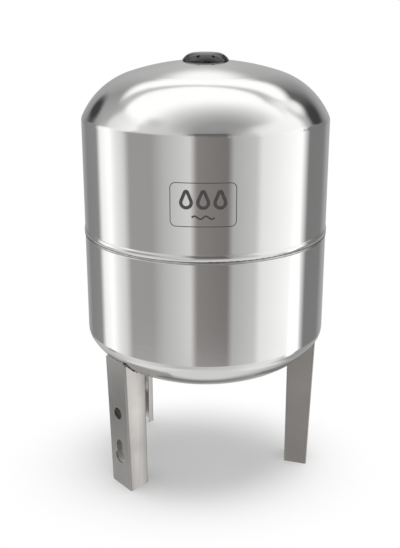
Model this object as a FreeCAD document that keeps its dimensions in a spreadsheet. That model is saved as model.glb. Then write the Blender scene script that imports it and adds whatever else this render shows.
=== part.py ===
import FreeCAD, Part
import os
import re
import Sketcher

# Upright stainless pressure tank for a well pump, on three folded sheet legs.
# The frame: +Z up, the origin on the floor on the tank's axis, -Y towards the front.

doc = FreeCAD.newDocument("pressure_tank")

# Driving sizes in millimetres and degrees, one cell each

SIZES = {
    "shell_radius": 235,
    "wall": 1.5,
    "leg_height": 300,
    "lower_run": 195,
    "upper_run": 214.5,
    "top_knuckle": 17,
    "top_knuckle_angle": 24.7,
    "top_shoulder": 148,
    "top_shoulder_angle": 72,
    "base_knuckle": 29,
    "base_knuckle_angle": 31.6,
    "base_shoulder": 119,
    "base_shoulder_angle": 61.6,
    "lip_proud": 1.2,
    "lip_round": 1.6,
    "lip_band": 6,
    "lip_run": 12,
    "rim_joggle": 0.5,
    "rim_slope": 1,
    "rim_overlap": 10,
    "fit_gap": 0.1,
    "weld_leg": 4.5,
    "weld_round": 4.5,
    "leg_sheet": 2,
    "leg_width": 65,
    "foot_inset": 20,
    "leg_lean": 1.8,
    "flange_depth": 45.5,
    "flange_close": 9.5,
    "return_lip": 15,
    "bend_radius": 3,
    "blank_over": 10,
    "web_corner_round": 8,
    "root_gap": 0.5,
    "flange_gap": 1.8,
    "upper_hole_radius": 12,
    "upper_hole_height": 158.5,
    "keyhole_radius": 14.5,
    "keyhole_height": 65.5,
    "keyhole_slot_radius": 9,
    "keyhole_slot_rise": 27,
    "front_leg_angle": -50.2,
    "right_leg_angle": 82.3,
    "rear_leg_angle": -129,
    "neck_drop": 3.7,
    "neck_radius": 58,
    "neck_thick": 14,
    "neck_width": 20,
    "lip_seat_width": 6,
    "lip_seat_depth": 3.5,
    "bolt_inset": 8,
    "bolt_count": 6,
    "bolt_radius": 4,
    "bolt_hole_radius": 4.5,
    "bolt_length": 16,
    "bolt_head_width": 13,
    "bolt_head_height": 5.3,
    "tapped_depth": 11,
    "washer_radius": 8,
    "washer_thick": 1.6,
    "flange_thick": 5,
    "port_radius": 15.15,
    "port_thread_length": 20,
    "port_outer_radius": 22,
    "port_spigot_radius": 20,
    "port_chamfer": 1.5,
    "bladder_wall": 3,
    "bladder_clearance": 65,
    "bladder_neck_length": 21,
    "bladder_low_squat": 20.2,
    "bladder_high_squat": 1.6,
    "tail_radius": 12.4,
    "tail_step": 4,
    "tail_thick": 6,
    "seat_radius": 32,
    "seat_bore": 28,
    "seat_rise": 0.2,
    "seat_height": 23.5,
    "seat_floor": 6,
    "stem_radius": 5,
    "stem_disc_radius": 10.5,
    "stem_disc_thick": 4,
    "stem_end": 3,
    "hanger_washer_radius": 10,
    "hanger_washer_thick": 2,
    "hanger_nut_width": 16,
    "hanger_nut_height": 8,
    "valve_offset": 17.5,
    "valve_spigot_radius": 4.8,
    "valve_hex_width": 12,
    "valve_hex_height": 4,
    "valve_radius": 3.85,
    "valve_height": 23,
    "valve_bore": 2.6,
    "core_pin_radius": 0.8,
    "core_pin_length": 6,
    "core_thread_length": 5,
    "core_plug_radius": 2.1,
    "core_length": 18,
    "gasket_radius": 7,
    "gasket_thick": 1.5,
    "valve_cap_radius": 5,
    "valve_cap_height": 10,
    "valve_cap_roof": 3,
    "cap_radius": 43.5,
    "cap_rise": 13,
    "cap_rim": 1.6,
    "cap_flat_radius": 21,
    "cap_flat_fall": 0.4,
    "cap_brow_radius": 32,
    "cap_brow_fall": 3,
    "cap_brow_round": 26,
    "cap_side_round": 26,
    "cap_roof": 3,
    "cap_gap": 0.3,
    "cap_spigot_depth": 5,
    "cap_spigot_wall": 2,
    "grip_count": 8,
    "grip_radius": 3.2,
    "grip_offset": 3.8,
    "grip_depth": 9.5,
}

sizes = doc.addObject("Spreadsheet::Sheet", "Sizes")
for row, (alias, number) in enumerate(SIZES.items(), start=1):
    sizes.set(f"A{row}", alias)
    sizes.set(f"B{row}", str(number))
    sizes.setAlias(f"B{row}", alias)
doc.recompute()

ALIAS = re.compile(r"\b(" + "|".join(SIZES) + r")\b")


def value(formula):
    """The number that a formula of sheet sizes gives."""
    result = sizes.evalExpression(str(formula))
    return float(getattr(result, "Value", result))


def bind(target, path, formula):
    """Tie one property or constraint to the sheet."""
    target.setExpression(path, ALIAS.sub(r"Sizes.\1", str(formula)))


# Bodies, sketches and features

def new_body(name):
    body = doc.addObject("PartDesign::Body", name)
    body.Label = name
    return body


def datum(body, role):
    return next(item for item in body.Origin.OriginFeatures if item.Role == role)


def new_sketch(body, name, role="XZ_Plane", offset=None):
    sketch = body.newObject("Sketcher::SketchObject", name)
    sketch.AttachmentSupport = [(datum(body, role), "")]
    sketch.MapMode = "FlatFace"
    if offset is not None:
        bind(sketch, "AttachmentOffset.Base.z", offset)
    return sketch


def hold(sketch, axis, geometry, point, formula):
    """Fix one coordinate of a sketch point to a formula, or to the axis where it is nought."""
    number = value(formula)
    if abs(number) < 1e-9:
        line = -2 if axis == "X" else -1
        sketch.addConstraint(Sketcher.Constraint("PointOnObject", geometry, point, line))
        return
    index = sketch.addConstraint(
        Sketcher.Constraint("Distance" + axis, -1, 1, geometry, point, number))
    bind(sketch, f"Constraints[{index}]", formula)


def arc_between(start, end, radius, side):
    """The shorter arc between two points, with its centre left (1) or right (-1) of the way."""
    chord = end - start
    left = FreeCAD.Vector(-chord.y, chord.x, 0).normalize()
    rise = max(radius ** 2 - (chord.Length / 2) ** 2, 0) ** 0.5
    centre = (start + end) / 2 + left * rise * side
    middle = (start + end) / 2 - centre
    return Part.Arc(start, centre + middle.normalize() * radius, end)


def outline(sketch, corners, arcs=None):
    """A closed outline through corners given as formula pairs.

    arcs gives, by the number of the corner where it starts, a radius formula and a side."""
    arcs = arcs or {}
    first = sketch.GeometryCount
    points = [FreeCAD.Vector(value(x), value(y), 0) for x, y in corners]
    count = len(points)
    ends = []
    for number, start in enumerate(points):
        end = points[(number + 1) % count]
        if number in arcs:
            radius, side = arcs[number]
            curve = arc_between(start, end, value(radius), side)
            index = sketch.addGeometry(curve, False)
            kept = sketch.getPoint(index, 1)
            ends.append((1, 2) if kept.distanceToPoint(start) < 1e-4 else (2, 1))
        else:
            sketch.addGeometry(Part.LineSegment(start, end), False)
            ends.append((1, 2))
    for number, (x, y) in enumerate(corners):
        before = (number - 1) % count
        sketch.addConstraint(Sketcher.Constraint(
            "Coincident", first + before, ends[before][1], first + number, ends[number][0]))
        hold(sketch, "X", first + number, ends[number][0], x)
        hold(sketch, "Y", first + number, ends[number][0], y)
    for number, (radius, side) in arcs.items():
        index = sketch.addConstraint(Sketcher.Constraint("Radius", first + number, value(radius)))
        bind(sketch, f"Constraints[{index}]", radius)


def circle(sketch, x, y, radius):
    centre = FreeCAD.Vector(value(x), value(y), 0)
    index = sketch.addGeometry(
        Part.Circle(centre, FreeCAD.Vector(0, 0, 1), value(radius)), False)
    hold(sketch, "X", index, 3, x)
    hold(sketch, "Y", index, 3, y)
    number = sketch.addConstraint(Sketcher.Constraint("Radius", index, value(radius)))
    bind(sketch, f"Constraints[{number}]", radius)


def hexagon(sketch, x, width):
    """A hexagon across the flats, centred at a formula on the X axis, with a flat towards +Y."""
    half = f"({width}) / 2"
    corner = f"({width}) / 2 * tan(30)"
    reach = f"({width}) / sqrt(3)"
    outline(sketch, [
        (f"{x} + {reach}", "0"),
        (f"{x} + {corner}", half),
        (f"{x} - {corner}", half),
        (f"{x} - {reach}", "0"),
        (f"{x} - {corner}", f"0 - {half}"),
        (f"{x} + {corner}", f"0 - {half}"),
    ])


def turned(body, name, corners, arcs=None, kind="Revolution"):
    """A solid, or with Groove a cut, turned about the tank's axis."""
    sketch = new_sketch(body, name + "_outline")
    outline(sketch, corners, arcs)
    feature = body.newObject("PartDesign::" + kind, name)
    feature.Profile = sketch
    feature.ReferenceAxis = (sketch, ["V_Axis"])
    feature.Angle = 360
    return feature


def pad(body, name, sketch, length):
    feature = body.newObject("PartDesign::Pad", name)
    feature.Profile = sketch
    bind(feature, "Length", length)
    return feature


def cut_through(body, name, sketch, reverse=True):
    feature = body.newObject("PartDesign::Pocket", name)
    feature.Profile = sketch
    feature.Type = "ThroughAll"
    feature.Reversed = reverse
    return feature


def ring_of(body, name, features, count):
    """Repeat features about the tank's axis."""
    pattern = body.newObject("PartDesign::PolarPattern", name)
    pattern.Originals = features
    pattern.Axis = (datum(body, "Z_Axis"), [""])
    pattern.Angle = 360
    bind(pattern, "Occurrences", count)
    body.Tip = pattern
    return pattern


# The pressed heads: a tight knuckle, a shoulder and a shallow crown, each tangent to the next

SEAM = "(leg_height + lower_run)"
UPPER_TANGENT = "(leg_height + lower_run + upper_run)"
BLANK_TOP = "(leg_height + blank_over)"
FOOT_RADIUS = "(shell_radius - foot_inset)"
MOUTH_RADIUS = "(neck_radius - neck_width)"
LIP_SEAT_RADIUS = "(neck_radius - neck_width + lip_seat_width)"
BOLT_CIRCLE = "(neck_radius - bolt_inset)"
GRIP_CIRCLE = "(cap_brow_radius + grip_offset)"


class Head:
    """Formulas for one head's section, inset from its outer face by a given amount."""

    def __init__(self, sign, tangent, knuckle, shoulder, inset="0"):
        self.sign = sign
        turn = knuckle + "_angle"
        shoulder_turn = shoulder + "_angle"
        centre_x = f"(shell_radius - {knuckle} + ({knuckle} - {shoulder}) * cos({turn}))"
        centre_drop = f"(({knuckle} - {shoulder}) * sin({turn}))"
        crown = f"({shoulder} + {centre_x} / cos({shoulder_turn}))"
        crown_drop = f"({centre_drop} + ({shoulder} - {crown}) * sin({shoulder_turn}))"
        self.tangent = tangent
        self.knuckle_radius = f"({knuckle} - ({inset}))"
        self.shoulder_radius = f"({shoulder} - ({inset}))"
        self.crown_radius = f"({crown} - ({inset}))"
        self.crown_drop = crown_drop
        self.shoulder_x = centre_x
        self.shoulder_drop = centre_drop
        self.wall_point = (f"shell_radius - ({inset})", tangent)
        self.knuckle_end = (
            f"shell_radius - {knuckle} + {self.knuckle_radius} * cos({turn})",
            f"{tangent} {sign} {self.knuckle_radius} * sin({turn})")
        self.shoulder_end = (
            f"{centre_x} + {self.shoulder_radius} * cos({shoulder_turn})",
            f"{tangent} {sign} ({centre_drop} + {self.shoulder_radius} * sin({shoulder_turn}))")

    def crown_at(self, radius):
        """Height of the crown at a distance from the axis."""
        rise = f"sqrt({self.crown_radius} ^ 2 - ({radius}) ^ 2)"
        return f"{self.tangent} {self.sign} ({self.crown_drop} + {rise})"

    def shoulder_at(self, radius):
        """Height of the shoulder at a distance from the axis."""
        rise = f"sqrt({self.shoulder_radius} ^ 2 - ({radius} - {self.shoulder_x}) ^ 2)"
        return f"{self.tangent} {self.sign} ({self.shoulder_drop} + {rise})"


def top_head(inset="0"):
    return Head("+", UPPER_TANGENT, "top_knuckle", "top_shoulder", inset)


def base_head(inset="0"):
    return Head("-", "leg_height", "base_knuckle", "base_shoulder", inset)


# Heights that several pieces share

NECK_FACE = f"({base_head().crown_at('0')} - neck_drop)"
SEAT_TOP = f"({top_head().crown_at('0')} + seat_rise)"
SEAT_BOTTOM = f"({SEAT_TOP} - seat_height)"
SEAT_FLOOR = f"({SEAT_BOTTOM} + seat_floor)"
VALVE_TOP = f"({SEAT_FLOOR} + valve_height)"


# Upper half: deep-drawn sheet, its rim swelled into a lip that laps over the lower half

def build_upper_shell():
    body = new_body("upper_shell")
    outer = top_head()
    inner = top_head("wall")
    opening = "seat_radius + fit_gap"
    corners = [
        ("shell_radius - rim_joggle", SEAM),
        ("shell_radius + lip_proud - lip_round", SEAM),
        ("shell_radius + lip_proud", f"{SEAM} + lip_round"),
        ("shell_radius + lip_proud", f"{SEAM} + lip_band"),
        ("shell_radius", f"{SEAM} + lip_run"),
        outer.wall_point,
        outer.knuckle_end,
        outer.shoulder_end,
        (opening, outer.crown_at(opening)),
        (opening, inner.crown_at(opening)),
        inner.shoulder_end,
        inner.knuckle_end,
        inner.wall_point,
        ("shell_radius - wall", f"{SEAM} + lip_run + rim_slope"),
        ("shell_radius - rim_joggle", f"{SEAM} + lip_run"),
    ]
    arcs = {
        1: ("lip_round", 1),
        5: (outer.knuckle_radius, 1),
        6: (outer.shoulder_radius, 1),
        7: (outer.crown_radius, 1),
        9: (inner.crown_radius, -1),
        10: (inner.shoulder_radius, -1),
        11: (inner.knuckle_radius, -1),
    }
    turned(body, "upper_pressing", corners, arcs)


# Lower half: the same drawing, its rim pressed in to slide up inside the lip

def build_lower_shell():
    body = new_body("lower_shell")
    outer = base_head()
    inner = base_head("wall")
    opening = "neck_radius + fit_gap"
    rim = "shell_radius - rim_joggle - fit_gap"
    corners = [
        (rim, f"{SEAM} + rim_overlap"),
        (f"{rim} - wall", f"{SEAM} + rim_overlap"),
        (f"{rim} - wall", f"{SEAM} - weld_leg"),
        ("shell_radius - wall", f"{SEAM} - weld_leg - rim_slope"),
        inner.wall_point,
        inner.knuckle_end,
        inner.shoulder_end,
        (opening, inner.crown_at(opening)),
        (opening, outer.crown_at(opening)),
        outer.shoulder_end,
        outer.knuckle_end,
        outer.wall_point,
        ("shell_radius", f"{SEAM} - weld_leg - rim_slope"),
        (rim, f"{SEAM} - weld_leg"),
    ]
    arcs = {
        4: (inner.knuckle_radius, -1),
        5: (inner.shoulder_radius, -1),
        6: (inner.crown_radius, -1),
        8: (outer.crown_radius, 1),
        9: (outer.shoulder_radius, 1),
        10: (outer.knuckle_radius, 1),
    }
    turned(body, "lower_pressing", corners, arcs)


# Weld bead laid in the corner under the lip, all the way round

def build_seam_weld():
    body = new_body("seam_weld")
    rim = "shell_radius - rim_joggle - fit_gap"
    corners = [
        (rim, SEAM),
        (rim, f"{SEAM} - weld_leg"),
        ("shell_radius", f"{SEAM} - weld_leg - rim_slope"),
        ("shell_radius + lip_proud - lip_round", SEAM),
    ]
    turned(body, "bead", corners, {2: ("weld_round", 1)})


# Legs: sheet folded to a channel with turned-in edges, the web outwards and leaning out as it rises.
# The flanges are folded a little past square, so that the channel narrows towards the tank's axis.

def leg_side(web, edge, half, turn):
    """Points down one side of the section: the web's bend, the flange and the bend of its edge."""
    web_set = f"({turn}) * tan(45 + flange_close / 2)"
    edge_set = f"({turn}) * tan(45 - flange_close / 2)"
    edge_half = f"({half} - ({web} - ({edge})) * tan(flange_close))"
    return [
        (edge, f"{edge_half} - {edge_set}"),
        (f"{edge} + {edge_set} * cos(flange_close)", f"{edge_half} + {edge_set} * sin(flange_close)"),
        (f"{web} - {web_set} * cos(flange_close)", f"{half} - {web_set} * sin(flange_close)"),
        (web, f"{half} - {web_set}"),
    ]


def leg_section(body, name, web_radius, offset):
    sketch = new_sketch(body, name, "XY_Plane", offset)
    turn = "bend_radius"
    tight = "bend_radius - leg_sheet"
    half = "leg_width / 2"
    inside = f"({half} - leg_sheet * tan(flange_close) - leg_sheet / cos(flange_close))"
    web_inside = f"({web_radius} - leg_sheet)"
    edge = f"({FOOT_RADIUS} - flange_depth)"
    edge_inside = f"({edge} + leg_sheet)"
    lip_end = f"{half} - ({web_radius} - {edge}) * tan(flange_close) - return_lip"
    right = [(edge, lip_end), *leg_side(web_radius, edge, half, turn)]
    left = [(x, f"0 - ({y})") for x, y in reversed(right)]
    right_inside = [(edge_inside, lip_end), *leg_side(web_inside, edge_inside, inside, tight)]
    left_inside = [(x, f"0 - ({y})") for x, y in right_inside]
    right_inside.reverse()
    arcs = {
        1: (turn, -1), 3: (turn, -1), 5: (turn, -1), 7: (turn, -1),
        11: (tight, 1), 13: (tight, 1), 15: (tight, 1), 17: (tight, 1),
    }
    outline(sketch, right + left + left_inside + right_inside, arcs)
    return sketch


# Each leg is lofted upright from its foot, trimmed to the head, pierced, then turned into place

def build_leg(name, turn):
    body = new_body(name)
    foot = leg_section(body, name + "_foot", FOOT_RADIUS, None)
    top_web = f"({FOOT_RADIUS} + {BLANK_TOP} * tan(leg_lean))"
    top = leg_section(body, name + "_top", top_web, BLANK_TOP)
    fold = body.newObject("PartDesign::AdditiveLoft", name + "_fold")
    fold.Profile = foot
    fold.Sections = [top]
    fold.Ruled = True

    # the upper end is trimmed to the head: the web close up for its weld, the flanges clear of it
    close = base_head("0 - root_gap")
    clear = base_head("0 - flange_gap")
    step = f"({FOOT_RADIUS} + leg_height * tan(leg_lean) - leg_sheet - bend_radius)"
    above = f"{BLANK_TOP} + wall"
    turned(body, name + "_trim", [
        ("0", clear.crown_at("0")),
        clear.shoulder_end,
        (step, clear.shoulder_at(step)),
        (step, close.shoulder_at(step)),
        close.knuckle_end,
        close.wall_point,
        (close.wall_point[0], above),
        ("0", above),
    ], {
        0: (clear.crown_radius, 1),
        1: (clear.shoulder_radius, 1),
        3: (close.shoulder_radius, 1),
        4: (close.knuckle_radius, 1),
    }, "Groove")

    # the web's two upper corners are rounded, clear of the flanges
    web_top = close.shoulder_at(f"({FOOT_RADIUS} + leg_height * tan(leg_lean) - leg_sheet)")
    behind_web = f"{FOOT_RADIUS} - leg_sheet - bend_radius"
    corners = new_sketch(body, name + "_corners", "YZ_Plane", behind_web)
    for side in ("", "0 - "):
        centre_side = 1 if side else -1
        edge = f"{side}(leg_width / 2 + leg_sheet)"
        low = f"{web_top} - web_corner_round"
        outline(corners, [
            (f"{side}(leg_width / 2 - web_corner_round)", web_top),
            (f"{side}(leg_width / 2)", low),
            (edge, low),
            (edge, above),
            (f"{side}(leg_width / 2 - web_corner_round)", above),
        ], {0: ("web_corner_round", centre_side)})
    cut_through(body, name + "_corner_rounds", corners)

    # a round hole above a keyhole, both through the web
    holes = new_sketch(body, name + "_holes", "YZ_Plane", behind_web)
    circle(holes, "0", "upper_hole_height", "upper_hole_radius")
    neck = "sqrt(keyhole_radius ^ 2 - keyhole_slot_radius ^ 2)"
    slot_low = f"keyhole_height + {neck}"
    slot_high = "keyhole_height + keyhole_slot_rise"
    outline(holes, [
        ("keyhole_slot_radius", slot_low),
        ("keyhole_slot_radius", slot_high),
        ("0", f"{slot_high} + keyhole_slot_radius"),
        ("0 - keyhole_slot_radius", slot_high),
        ("0 - keyhole_slot_radius", slot_low),
        ("0 - keyhole_radius", "keyhole_height"),
        ("0", "keyhole_height - keyhole_radius"),
        ("keyhole_radius", "keyhole_height"),
    ], {
        1: ("keyhole_slot_radius", 1),
        2: ("keyhole_slot_radius", 1),
        4: ("keyhole_radius", 1),
        5: ("keyhole_radius", 1),
        6: ("keyhole_radius", 1),
        7: ("keyhole_radius", 1),
    })
    cut_through(body, name + "_web_holes", holes)
    bind(body, "Placement.Rotation.Angle", f"{turn} - 90")


# Bottom neck: a thick ring welded in the lower head's opening, tapped for the flange screws

def build_neck_ring():
    body = new_body("neck_ring")
    turned(body, "neck_blank", [
        (MOUTH_RADIUS, f"{NECK_FACE} + lip_seat_depth"),
        (LIP_SEAT_RADIUS, f"{NECK_FACE} + lip_seat_depth"),
        (LIP_SEAT_RADIUS, NECK_FACE),
        ("neck_radius", NECK_FACE),
        ("neck_radius", f"{NECK_FACE} + neck_thick"),
        (MOUTH_RADIUS, f"{NECK_FACE} + neck_thick"),
    ])
    sketch = new_sketch(body, "neck_tapping_centre", "XY_Plane", NECK_FACE)
    circle(sketch, BOLT_CIRCLE, "0", "bolt_radius")
    tapping = body.newObject("PartDesign::Pocket", "neck_tapping")
    tapping.Profile = sketch
    tapping.Reversed = True
    bind(tapping, "Length", "tapped_depth")
    ring_of(body, "neck_tappings", [tapping], "bolt_count")


# Counter flange: the round plate that clamps the bladder's lip against the neck

def build_counter_flange():
    body = new_body("counter_flange")
    base = f"{NECK_FACE} - flange_thick"
    turned(body, "flange_plate", [
        ("port_spigot_radius", base),
        ("neck_radius - port_chamfer", base),
        ("neck_radius", f"{base} + port_chamfer"),
        ("neck_radius", NECK_FACE),
        ("port_spigot_radius", NECK_FACE),
    ])
    sketch = new_sketch(body, "flange_hole_centre", "XY_Plane", base)
    circle(sketch, BOLT_CIRCLE, "0", "bolt_hole_radius")
    hole = cut_through(body, "flange_hole", sketch)
    ring_of(body, "flange_holes", [hole], "bolt_count")


# Port socket: a turned half coupling with the water thread, welded in the counter flange

def build_port_socket():
    body = new_body("port_socket")
    seat = f"{NECK_FACE} - flange_thick"
    mouth = f"{NECK_FACE} - port_thread_length"
    turned(body, "socket", [
        ("port_radius + port_chamfer", mouth),
        ("port_outer_radius - port_chamfer", mouth),
        ("port_outer_radius", f"{mouth} + port_chamfer"),
        ("port_outer_radius", seat),
        ("port_spigot_radius", seat),
        ("port_spigot_radius", NECK_FACE),
        ("port_radius", NECK_FACE),
        ("port_radius", f"{mouth} + port_chamfer"),
    ])


# Flange screws and washers, a set of each round the bolt circle

def build_flange_bolts():
    body = new_body("flange_bolts")
    seat = f"{NECK_FACE} - flange_thick - washer_thick"
    head_sketch = new_sketch(body, "bolt_head_outline", "XY_Plane", f"{seat} - bolt_head_height")
    hexagon(head_sketch, BOLT_CIRCLE, "bolt_head_width")
    head = pad(body, "bolt_head", head_sketch, "bolt_head_height")
    shank_sketch = new_sketch(body, "bolt_shank_outline", "XY_Plane", seat)
    circle(shank_sketch, BOLT_CIRCLE, "0", "bolt_radius")
    shank = pad(body, "bolt_shank", shank_sketch, "bolt_length")
    ring_of(body, "bolt_ring", [head, shank], "bolt_count")


def build_flange_washers():
    body = new_body("flange_washers")
    sketch = new_sketch(body, "washer_outline", "XY_Plane",
                        f"{NECK_FACE} - flange_thick - washer_thick")
    circle(sketch, BOLT_CIRCLE, "0", "washer_radius")
    circle(sketch, BOLT_CIRCLE, "0", "bolt_hole_radius")
    washer = pad(body, "washer", sketch, "washer_thick")
    ring_of(body, "washer_ring", [washer], "bolt_count")


# Bladder: a moulded rubber bag, its lip clamped at the neck and its tail hung from the top

def build_bladder():
    body = new_body("bladder")
    belly = "(shell_radius - bladder_clearance)"
    neck = f"({MOUTH_RADIUS} - fit_gap * 2)"
    neck_inside = f"({neck} - bladder_wall)"
    neck_top = f"({NECK_FACE} + bladder_neck_length)"
    tail_base = f"({SEAT_BOTTOM} - tail_step)"
    low_run = f"({belly} - {neck})"
    low_rise = f"({low_run} - bladder_low_squat)"
    belly_low = f"({neck_top} + {low_rise})"
    low_round = f"(({low_run} ^ 2 + {low_rise} ^ 2) / (2 * {low_run}))"
    low_centre = f"({belly} - {low_round})"
    low_inner = f"({low_round} - bladder_wall)"
    low_end = f"{belly_low} - sqrt({low_inner} ^ 2 - ({neck_inside} - {low_centre}) ^ 2)"
    high_run = f"({belly} - tail_radius)"
    high_rise = f"({high_run} - bladder_high_squat)"
    belly_high = f"({tail_base} - {high_rise})"
    high_round = f"(({high_run} ^ 2 + {high_rise} ^ 2) / (2 * {high_run}))"
    high_centre = f"({belly} - {high_round})"
    high_inner = f"({high_round} - bladder_wall)"
    recess = "(stem_disc_radius + fit_gap)"
    high_end = f"{belly_high} + sqrt({high_inner} ^ 2 - ({recess} - {high_centre}) ^ 2)"
    turned(body, "bag", [
        (neck_inside, NECK_FACE),
        (f"{LIP_SEAT_RADIUS} - fit_gap", NECK_FACE),
        (f"{LIP_SEAT_RADIUS} - fit_gap", f"{NECK_FACE} + lip_seat_depth"),
        (neck, f"{NECK_FACE} + lip_seat_depth"),
        (neck, neck_top),
        (belly, belly_low),
        (belly, belly_high),
        ("tail_radius", tail_base),
        ("tail_radius", SEAT_BOTTOM),
        ("stem_radius", SEAT_BOTTOM),
        ("stem_radius", f"{SEAT_BOTTOM} - tail_thick"),
        (recess, f"{SEAT_BOTTOM} - tail_thick"),
        (recess, high_end),
        (f"{belly} - bladder_wall", belly_high),
        (f"{belly} - bladder_wall", belly_low),
        (neck_inside, low_end),
    ], {
        4: (low_round, 1),
        6: (high_round, 1),
        12: (high_inner, -1),
        14: (low_inner, -1),
    })


# Valve seat: a turned cup welded in the top opening, with the air valve and the hanger in its floor

def build_valve_seat():
    body = new_body("valve_seat")
    turned(body, "seat_cup", [
        ("stem_radius", SEAT_BOTTOM),
        ("seat_radius", SEAT_BOTTOM),
        ("seat_radius", SEAT_TOP),
        ("seat_bore", SEAT_TOP),
        ("seat_bore", SEAT_FLOOR),
        ("stem_radius", SEAT_FLOOR),
    ])
    sketch = new_sketch(body, "valve_hole_centre", "XY_Plane", SEAT_BOTTOM)
    circle(sketch, "valve_offset", "0", "valve_spigot_radius")
    cut_through(body, "valve_hole", sketch)


# Hanger: a stem with a broad disc inside the bladder's tail, drawn up by a nut in the cup

def build_hanger_stem():
    body = new_body("hanger_stem")
    seat = f"{SEAT_BOTTOM} - tail_thick"
    end = f"{SEAT_FLOOR} + hanger_washer_thick + hanger_nut_height + stem_end"
    turned(body, "stem", [
        ("0", f"{seat} - stem_disc_thick"),
        ("stem_disc_radius", f"{seat} - stem_disc_thick"),
        ("stem_disc_radius", seat),
        ("stem_radius", seat),
        ("stem_radius", end),
        ("0", end),
    ])


def build_hanger_washer():
    body = new_body("hanger_washer")
    turned(body, "hanger_washer_disc", [
        ("stem_radius", SEAT_FLOOR),
        ("hanger_washer_radius", SEAT_FLOOR),
        ("hanger_washer_radius", f"{SEAT_FLOOR} + hanger_washer_thick"),
        ("stem_radius", f"{SEAT_FLOOR} + hanger_washer_thick"),
    ])


def build_hanger_nut():
    body = new_body("hanger_nut")
    sketch = new_sketch(body, "hanger_nut_outline", "XY_Plane",
                        f"{SEAT_FLOOR} + hanger_washer_thick")
    hexagon(sketch, "0", "hanger_nut_width")
    circle(sketch, "0", "0", "stem_radius")
    pad(body, "hanger_nut_blank", sketch, "hanger_nut_height")


# Air valve: body, sealing ring, core and dust cap, all on one upright axis beside the hanger

def beside_hanger(body):
    bind(body, "Placement.Base.x", "valve_offset")


def build_valve_gasket():
    body = new_body("valve_gasket")
    turned(body, "gasket_ring", [
        ("valve_spigot_radius", SEAT_FLOOR),
        ("gasket_radius", SEAT_FLOOR),
        ("gasket_radius", f"{SEAT_FLOOR} + gasket_thick"),
        ("valve_spigot_radius", f"{SEAT_FLOOR} + gasket_thick"),
    ])
    beside_hanger(body)


def build_valve_body():
    body = new_body("valve_body")
    hex_base = f"{SEAT_FLOOR} + gasket_thick"
    turned(body, "valve_turning", [
        ("valve_bore", SEAT_BOTTOM),
        ("valve_spigot_radius", SEAT_BOTTOM),
        ("valve_spigot_radius", hex_base),
        ("valve_radius", f"{hex_base} + valve_hex_height"),
        ("valve_radius", VALVE_TOP),
        ("valve_bore", VALVE_TOP),
    ])
    sketch = new_sketch(body, "valve_hex_outline", "XY_Plane", hex_base)
    hexagon(sketch, "0", "valve_hex_width")
    circle(sketch, "0", "0", "valve_bore")
    pad(body, "valve_hex", sketch, "valve_hex_height")
    beside_hanger(body)


def build_valve_core():
    body = new_body("valve_core")
    plug_top = f"{VALVE_TOP} - core_pin_length"
    turned(body, "core", [
        ("0", f"{VALVE_TOP} - core_length"),
        ("core_plug_radius", f"{VALVE_TOP} - core_length"),
        ("core_plug_radius", f"{plug_top} - core_thread_length"),
        ("valve_bore", f"{plug_top} - core_thread_length"),
        ("valve_bore", plug_top),
        ("core_pin_radius", plug_top),
        ("core_pin_radius", VALVE_TOP),
        ("0", VALVE_TOP),
    ])
    beside_hanger(body)


def build_valve_cap():
    body = new_body("valve_cap")
    roof = f"{VALVE_TOP} + valve_cap_roof"
    turned(body, "dust_cap", [
        ("0", VALVE_TOP),
        ("valve_radius + fit_gap", VALVE_TOP),
        ("valve_radius + fit_gap", f"{roof} - valve_cap_height"),
        ("valve_cap_radius", f"{roof} - valve_cap_height"),
        ("valve_cap_radius", roof),
        ("0", roof),
    ])
    beside_hanger(body)


# Top cap: a low black moulding with finger notches, its spigot pushed into the valve seat

def build_top_cap():
    body = new_body("top_cap")
    crown = top_head("0 - cap_gap")
    apex = top_head().crown_at("0")
    top = f"({apex} + cap_rise)"
    spigot = "(seat_bore - fit_gap)"
    cavity = f"({spigot} - cap_spigot_wall)"
    rim = crown.crown_at("cap_radius")
    flat_round = "((cap_flat_radius ^ 2 + cap_flat_fall ^ 2) / (2 * cap_flat_fall))"
    turned(body, "cap_moulding", [
        ("0", top),
        ("0", f"{top} - cap_roof"),
        (cavity, f"{top} - cap_roof"),
        (cavity, f"{SEAT_TOP} - cap_spigot_depth"),
        (spigot, f"{SEAT_TOP} - cap_spigot_depth"),
        (spigot, f"{SEAT_TOP} + cap_gap"),
        ("seat_radius + cap_gap", f"{SEAT_TOP} + cap_gap"),
        ("seat_radius + cap_gap", crown.crown_at("seat_radius + cap_gap")),
        ("cap_radius", rim),
        ("cap_radius", f"{rim} + cap_rim"),
        ("cap_brow_radius", f"{top} - cap_brow_fall"),
        ("cap_flat_radius", f"{top} - cap_flat_fall"),
    ], {
        7: (crown.crown_radius, -1),
        9: ("cap_side_round", 1),
        10: ("cap_brow_round", 1),
        11: (flat_round, 1),
    })
    sketch = new_sketch(body, "grip_centre", "XY_Plane", f"{top} - grip_depth")
    circle(sketch, f"{GRIP_CIRCLE} * sin(180 / grip_count)",
           f"0 - {GRIP_CIRCLE} * cos(180 / grip_count)", "grip_radius")
    grip = cut_through(body, "grip", sketch)
    ring_of(body, "grips", [grip], "grip_count")


build_upper_shell()
build_lower_shell()
build_seam_weld()
build_leg("leg_front_left", "front_leg_angle")
build_leg("leg_right", "right_leg_angle")
build_leg("leg_rear_left", "rear_leg_angle")
build_neck_ring()
build_counter_flange()
build_port_socket()
build_flange_bolts()
build_flange_washers()
build_bladder()
build_valve_seat()
build_hanger_stem()
build_hanger_washer()
build_hanger_nut()
build_valve_gasket()
build_valve_body()
build_valve_core()
build_valve_cap()
build_top_cap()
doc.recompute()

# Check every object, then write one file for each piece

failed = [item.Label for item in doc.Objects
          if "Invalid" in item.State or "Error" in item.State]
if failed:
    raise RuntimeError("failed objects: " + ", ".join(failed))

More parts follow.
